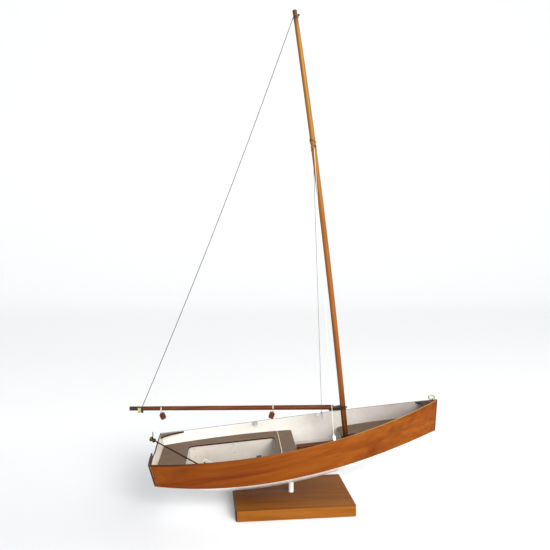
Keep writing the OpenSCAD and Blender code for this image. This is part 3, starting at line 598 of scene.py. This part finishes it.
# ---- breasthook --------------------------------------------------------------------------
def make_breasthook():
    """Plate between the planks at the bow, cut back further than the CAD one, with a hollow aft edge."""
    cut_back, hollow, thick = 12 * MM, 7 * MM, 3 * MM
    plate = nodes["breasthook"].data
    up = max((p for p in plate.polygons if p.normal.z > 0), key=lambda p: p.area).normal.copy()
    ahead = boat_y.cross(up)
    level = max(up.dot(v.co) for v in plate.vertices)
    near_top = 0.1 * MM
    top = sorted((v.co for v in plate.vertices if up.dot(v.co) > level - near_top), key=lambda p: p.y)
    rim = {round(ahead.dot(p), 5): p.y for p in top}
    aft = min(rim) + cut_back
    side = [(x, rim[x]) for x in sorted(rim) if x > aft]
    start, half = side[0]
    steps = 12
    edge = [-half + 2 * half * i / steps for i in range(1, steps)]
    outline = side + [(x, -y) for x, y in reversed(side)]
    outline += [(start + hollow * (1 - (y / half) ** 2), y) for y in edge]
    verts = [ahead * x + boat_y * y + up * (level - drop) for drop in (0.0, thick) for x, y in outline]
    n = len(outline)
    faces = [tuple(range(n))[::-1], tuple(range(n, 2 * n))]
    faces += [(i, (i + 1) % n, n + (i + 1) % n, n + i) for i in range(n)]
    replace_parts(piece("breasthook_plate", verts, faces, brown_cap, "hull"), "breasthook")


# ---- mast and shrouds --------------------------------------------------------------------
def mast_section(height):
    """Centre and radius of the mast near a height along boat_z, in metres."""
    rings = {}
    for v in nodes["mast"].data.vertices:
        rings.setdefault(round(boat_z.dot(v.co), 4), []).append(v.co)
    levels = sorted(rings)
    above = next(level for level in levels if level > height)
    below = max(level for level in levels if level <= height)
    share = (height - below) / (above - below)
    centres = [sum(rings[level], Vector()) / len(rings[level]) for level in (below, above)]
    radii = [max((p - c).length for p in rings[level]) for level, c in zip((below, above), centres)]
    return centres[0].lerp(centres[1], share), radii[0] + (radii[1] - radii[0]) * share


def make_lashing():
    """Criss-cross turns of brown cord at the hounds, with two dark knots."""
    cord_radius = 0.55 * MM
    low = -reach("hounds_lashing", -boat_z)
    # height above the lashing's foot in mm, slope in degrees and cord of each turn
    turns = ((1, 30, rope_tan), (1, -30, rope_dark), (8, 40, rope_tan), (8, -40, rope_tan),
             (15, 35, rope_dark), (15, -35, rope_tan))
    # height and how far ahead, from 1 for straight ahead to -1 for straight aft, of each knot
    knots = ((5, 0.35), (15, -0.85))
    pieces = []
    for i, (lift, tilt, material) in enumerate(turns):
        centre, radius = mast_section(low + lift * MM)
        ring = loop_points(centre, boat_z, radius + BEDDED * cord_radius, tilt)
        pieces.append(rope(f"hounds_turn_{i}", material, "hull", cord_radius, ring, FINE_LAY, closed=True))
    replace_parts(pieces[0], "hounds_lashing")
    for i, (lift, ahead) in enumerate(knots):
        centre, radius = mast_section(low + lift * MM)
        out = boat_x * ahead - boat_y * math.sqrt(1 - ahead * ahead)
        knot(f"hounds_knot_{i}", rope_dark, "hull", centre + out * (radius + 1.2 * MM), 1.1 * MM, 0.45 * MM)


# a bowsie's half-width, half-thickness and half-length, its hole's radius and the hole's place, in mm
BOWSIE_HALF = (2.4, 1.0, 4.8)
BOWSIE_HOLE = 0.9
HOLE_RISE = 1.44
SQUARENESS = 3          # 2 would make the bowsie an ellipse


def make_bowsie(name, centre, long_way, thin_way):
    """Small white plate with rounded ends and one hole, for tightening a shroud."""
    sides = 28
    half_w, half_t, half_h = BOWSIE_HALF
    other = long_way.cross(thin_way)
    verts, faces = [], []
    for face in (-1, 1):
        for hole in (False, True):
            for i in range(sides):
                a = 2 * math.pi * i / sides
                c, s = math.cos(a), math.sin(a)
                if hole:
                    u, v = BOWSIE_HOLE * c, BOWSIE_HOLE * s + HOLE_RISE
                else:
                    corner = abs(c / half_w) ** SQUARENESS + abs(s / half_h) ** SQUARENESS
                    size = corner ** (-1 / SQUARENESS)
                    u, v = size * c, size * s
                verts.append(centre + (other * u + long_way * v + thin_way * half_t * face) * MM)
    for i in range(sides):
        k = (i + 1) % sides
        outer_low, inner_low, outer_high, inner_high = (r * sides for r in range(4))
        faces.append((outer_low + i, outer_high + i, outer_high + k, outer_low + k))
        faces.append((inner_low + k, inner_high + k, inner_high + i, inner_low + i))
        faces.append((outer_low + k, inner_low + k, inner_low + i, outer_low + i))
        faces.append((outer_high + i, inner_high + i, inner_high + k, outer_high + k))
    return piece(name, verts, faces, white, "hull")


def make_shrouds():
    """Each shroud runs from the hounds down to a bowsie inside the gunwale; the port bowsie lies tipped."""
    deadeyes = [v.co for v in nodes["shroud_deadeyes"].data.vertices]
    tipped = boat_x * 0.96 + boat_z * 0.28
    plates = []
    # node, side, distance aft of the CAD eye, cord between bowsie and knot, and the bowsie's long way
    shrouds = (("port_shroud", 1, 6.5, 6.5, tipped), ("starboard_shroud", -1, 0, 3.5, boat_z))
    for name, side, aft, slack, long_way in shrouds:
        top = farthest(name, boat_z)
        own = [p for p in deadeyes if p.y * side > 0]
        centre = sum(own, Vector()) / len(own) - (boat_x + boat_z * 0.75) * aft * MM
        hole = centre + long_way * HOLE_RISE * MM
        eye = hole + (long_way * slack + boat_z * 1.5) * MM
        plates.append(make_bowsie(name.replace("shroud", "bowsie"), centre, long_way, boat_y))
        path = [eye] + [eye.lerp(top, k) for k in (0.02, 0.1, 0.5, 1.0)]
        # the port shroud takes the darker cord as painted shade, since it hangs in shade
        material = rope_shaded if side > 0 else rope_cream
        line = rope(name.replace("shroud", "shroud_cord"), material, "hull", 0.5 * MM, path, 4 * MM)
        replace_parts(line, name)
        gap = boat_y * 1.5 * MM
        loop = [eye, hole.lerp(eye, 0.4) + gap, hole, hole.lerp(eye, 0.4) - gap]
        rope(name.replace("shroud", "shroud_loop"), material, "hull", 0.35 * MM, loop, FINE_LAY, closed=True)
        knot(name.replace("shroud", "shroud_knot"), material, "hull", eye, 0.8 * MM, 0.4 * MM)
        if side > 0:
            tail = [eye, eye - boat_z * 6 * MM, eye - (boat_z * 15 + boat_x) * MM]
            rope("port_shroud_tail", material, "hull", 0.4 * MM, tail, FINE_LAY)
    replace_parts(plates[0], "shroud_deadeyes")


def make_bow_ring():
    """Brass ring that hangs over to port from the eye on the stem."""
    radius, wire_radius = 5.6 * MM, 1.1 * MM
    lean = math.radians(62)
    pivot = Vector(joints["bow_ring_swing"]["pos_m"])
    out = boat_z * math.cos(lean) + boat_y * math.sin(lean)
    count = 32
    ring = [pivot + radius * (out * (1 + math.cos(a)) + boat_x * math.sin(a))
            for a in [2 * math.pi * i / count for i in range(count)]]
    line = rope("bow_ring_wire", pale_brass, "bow_ring", wire_radius, ring, closed=True)
    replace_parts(line, "bow_ring")


# ---- gear on the boom ----------------------------------------------------------------------
boom_aft = end_centre("boom", -boat_x)
boom_fore = end_centre("boom", boat_x)
boom_way = (boom_fore - boom_aft).normalized()


def on_boom(point):
    """The nearest point on the boom's centreline, and the boom's radius."""
    centre = boom_aft + boom_way * boom_way.dot(point - boom_aft)
    near = [(v.co - boom_aft) for v in nodes["boom"].data.vertices]
    radius = sum((p - boom_way * boom_way.dot(p)).length for p in near) / len(near)
    return centre, radius


def make_boom_wire():
    """Wire from a turn round the masthead, hanging in a slight curve to the boom."""
    sag = 6 * MM
    radius = 0.57 * MM
    head = farthest("boom_wire", boat_z)
    centre, mast_radius = mast_section(boat_z.dot(head))
    top = centre - boat_x * (mast_radius + radius)
    foot, boom_radius = on_boom(farthest("wire_seizing", -boat_z))
    foot += boat_z * boom_radius
    droop = (foot - top).cross(boat_y).normalized() * sag
    steps = 12
    path = [top.lerp(foot, i / steps) + droop * math.sin(math.pi * i / steps) for i in range(steps + 1)]
    line = rope("boom_wire_line", steel, "boom", radius, path)
    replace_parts(line, "boom_wire")
    rope("boom_wire_turn", steel, "boom", radius, loop_points(centre, boat_z, mast_radius + radius),
         closed=True)


def make_strops():
    """A turn of cord round the boom over each block, and the loop that the block hangs in."""
    radius, loop_radius = 0.5 * MM, 0.4 * MM
    half_gap = 1.5 * MM
    lines = []
    for which in ("aft", "fore"):
        pivot = Vector(joints[f"{which}_block_swing"]["pos_m"])
        centre, boom_radius = on_boom(pivot)
        centre = centre + boom_way * boom_way.dot(pivot - centre)
        for i, step in enumerate((-0.9, 0.9)):
            ring = loop_points(centre + boom_way * step * radius, boom_way, boom_radius + BEDDED * radius)
            name = f"{which}_strop_turn_{i}"
            lines.append(rope(name, rope_cream, "boom", radius, ring, FINE_LAY, closed=True))
        low = centre - boat_z * boom_radius
        side = boat_y * half_gap
        hang = [low + side, low.lerp(pivot, 0.6) + side * 0.9, pivot + side * 0.3, pivot - side * 0.3,
                low.lerp(pivot, 0.6) - side * 0.9, low - side]
        lines.append(rope(f"{which}_strop_loop", rope_cream, "boom", loop_radius, hang, FINE_LAY))
    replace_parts(lines[0], "block_strops")


def wound_on_boom(start, length, turns, radius):
    """Points of a cord wound round the boom, starting below it at the distance start along boom_way."""
    base = boom_aft + boom_way * (start - boom_way.dot(boom_aft))
    boom_radius = on_boom(base)[1]
    up = boom_way.cross(boat_y).normalized()
    steps = 16
    path = []
    for i in range(turns * steps + 1):
        a = 2 * math.pi * i / steps
        out = boat_y * math.sin(a) - up * math.cos(a)
        path.append(base + boom_way * length * i / (turns * steps) + out * (boom_radius + BEDDED * radius))
    return path, up


def make_outhaul():
    """Several turns of cord round the boom's aft end, with a short tail."""
    radius = 0.55 * MM
    start = -reach("outhaul_whipping", -boom_way) + radius
    length = reach("outhaul_whipping", boom_way) - radius - start
    path, up = wound_on_boom(start, length, 6, radius)
    tail = [path[0] - up * 7 * MM - boom_way * 1.5 * MM, path[0] - up * 3 * MM - boom_way * 0.5 * MM]
    line = rope("outhaul_turns", rope_olive, "boom", radius, tail + path, FINE_LAY)
    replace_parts(line, "outhaul_whipping")


def make_seizing():
    """Dark turns that hold the wire to the boom, knotted underneath."""
    radius, length = 0.75 * MM, 3.2 * MM
    middle = (reach("wire_seizing", boom_way) - reach("wire_seizing", -boom_way)) / 2
    path, up = wound_on_boom(middle - length / 2, length, 3, radius)
    line = rope("seizing_turns", rope_black, "boom", radius, path, FINE_LAY)
    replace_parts(line, "wire_seizing")
    knot("seizing_knot", rope_black, "boom", path[len(path) // 2] - up * 0.9 * MM, 1.2 * MM, 0.6 * MM)


def make_mainsheet():
    """Sheet thrown over the thwart, along the well and up over the starboard bench to a curled end."""
    radius, whipping_radius = 0.9 * MM, 1.2 * MM
    seat_top = top_at("centre_thwart", 230)
    bench_top = top_at("starboard_bench", 90)
    crossing = 229.5            # where it crosses the thwart
    well_side = -51             # how far to starboard it drops into the well
    curl_side = -68             # and how far to starboard its end lies
    thwart = [(crossing - 0.5, 84, 1.1), (crossing, 60, 1), (crossing, 30, 1), (crossing, 0, 1),
              (crossing, -25, 1.1), (crossing - 0.5, -40, 1.1), (crossing - 2.5, -46.5, 1.2),
              (crossing - 6.5, -49.5, 1.2), (crossing - 9.7, -50.5, 0.4)]
    well = [(217.8, well_side, -5), (215.5, well_side, -24), (205, well_side, -38),
            (170, well_side, -36), (135, well_side, -28)]
    bench = [(122, -53.6, -10), (124, -54, 1), (118, -61, 4), (108, -65, 7.5)]
    curl = [(100, curl_side, 12.2), (95.5, curl_side, 16.2), (92, curl_side, 15.2),
            (91.5, curl_side, 12.2), (94, curl_side + 0.5, 10)]
    points = [boat(x, y, seat_top + z) for x, y, z in thwart + well]
    points += [boat(x, y, bench_top + z) for x, y, z in bench + curl]
    line = rope("mainsheet_line", rope_cream, "hull", radius, points, 5 * MM)
    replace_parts(line, "mainsheet")
    rope("mainsheet_whipping", rope_dark, "hull", whipping_radius, points[-2:], 1.5 * MM)


make_breasthook()
make_lashing()
make_shrouds()
make_bow_ring()
make_boom_wire()
make_strops()
make_outhaul()
make_seizing()
make_mainsheet()


# ---- room, light and camera ------------------------------------------------------------
def make_floor():
    """A pale floor that curves up into a backdrop, with painted shade darkening it a little to the front
    left.
    """
    near_and_far, half_width, curve, wall_top = 3.0, 12.0, 1.2, 4.0
    steps = 16
    rows = [(-near_and_far, 0.0), (near_and_far, 0.0)]
    rows += [(near_and_far + curve * math.sin(a), curve * (1 - math.cos(a)))
             for a in [math.pi / 2 * i / steps for i in range(1, steps + 1)]]
    rows.append((near_and_far + curve, wall_top))
    points = [(x, y, z) for y, z in rows for x in (-half_width, half_width)]
    faces = [(2 * i, 2 * i + 1, 2 * i + 3, 2 * i + 2) for i in range(len(rows) - 1)]
    mesh = bpy.data.meshes.new("floor")
    mesh.from_pydata(points, [], faces)
    mesh.polygons.foreach_set("use_smooth", [True] * len(faces))
    floor = bpy.data.objects.new("floor", mesh)
    bpy.context.scene.collection.objects.link(floor)
    shader = Shader("floor")
    # painted shade: the floor is darkened toward the front left
    to_left = shader.position((-1, 0, 0), -0.05, 0.25)
    to_front = shader.position((0, -1, 0), -0.5, 0.1)
    shade = shader.mix(shader.math("MULTIPLY", to_left, to_front), "#fcfcfb", "#e8e8e9")
    mesh.materials.append(shader.finish(shade, 0.9))


def make_light(name, place, target, size, power):
    """Square soft box that faces a target."""
    data = bpy.data.lights.new(name, "AREA")
    data.size = size
    data.energy = power
    lamp = bpy.data.objects.new(name, data)
    lamp.location = place
    lamp.rotation_mode = "QUATERNION"
    lamp.rotation_quaternion = (Vector(target) - Vector(place)).to_track_quat("-Z", "Y")
    bpy.context.scene.collection.objects.link(lamp)


def make_camera():
    """Camera off the starboard side, at half the mast's height, looking slightly down."""
    place = (-0.1032, -1.1419, 0.49035)
    turn = 3.66             # degrees to the right of square on
    tip = 3.25              # degrees below level
    data = bpy.data.cameras.new("camera")
    data.lens = 40.9
    data.sensor_width = 36
    camera = bpy.data.objects.new("camera", data)
    camera.location = place
    camera.rotation_euler = (math.radians(90 - tip), 0, -math.radians(turn))
    bpy.context.scene.collection.objects.link(camera)
    bpy.context.scene.camera = camera


def make_world():
    """Soft light from all round, weaker from the left and weaker still in reflections."""
    left, right, reflected = 0.45, 1.15, 0.35
    world = bpy.data.worlds.new("studio")
    world.use_nodes = True
    tree = world.node_tree
    background = tree.nodes["Background"]
    background.inputs["Color"].default_value = (0.96, 0.98, 1.0, 1.0)
    coords = tree.nodes.new("ShaderNodeTexCoord")
    toward = tree.nodes.new("ShaderNodeVectorMath")
    toward.operation = "DOT_PRODUCT"
    toward.inputs[1].default_value = (0.8, -0.6, 0.0)
    across = tree.nodes.new("ShaderNodeMapRange")
    across.inputs["From Min"].default_value = -1.0
    across.inputs["To Min"].default_value = left
    across.inputs["To Max"].default_value = right
    path = tree.nodes.new("ShaderNodeLightPath")
    glossy = tree.nodes.new("ShaderNodeMapRange")
    glossy.inputs["To Min"].default_value = 1.0
    glossy.inputs["To Max"].default_value = reflected
    strength = tree.nodes.new("ShaderNodeMath")
    strength.operation = "MULTIPLY"
    links = tree.links
    links.new(coords.outputs["Generated"], toward.inputs[0])
    links.new(toward.outputs["Value"], across.inputs["Value"])
    links.new(path.outputs["Is Glossy Ray"], glossy.inputs["Value"])
    links.new(across.outputs["Result"], strength.inputs[0])
    links.new(glossy.outputs["Result"], strength.inputs[1])
    links.new(strength.outputs["Value"], background.inputs["Strength"])
    bpy.context.scene.world = world


make_floor()
make_world()
make_light("key", place=(0.9, -2.4, 1.25), target=(0, 0, 0.2), size=1.2, power=75)
make_camera()
bpy.context.scene.view_settings.view_transform = "Standard"
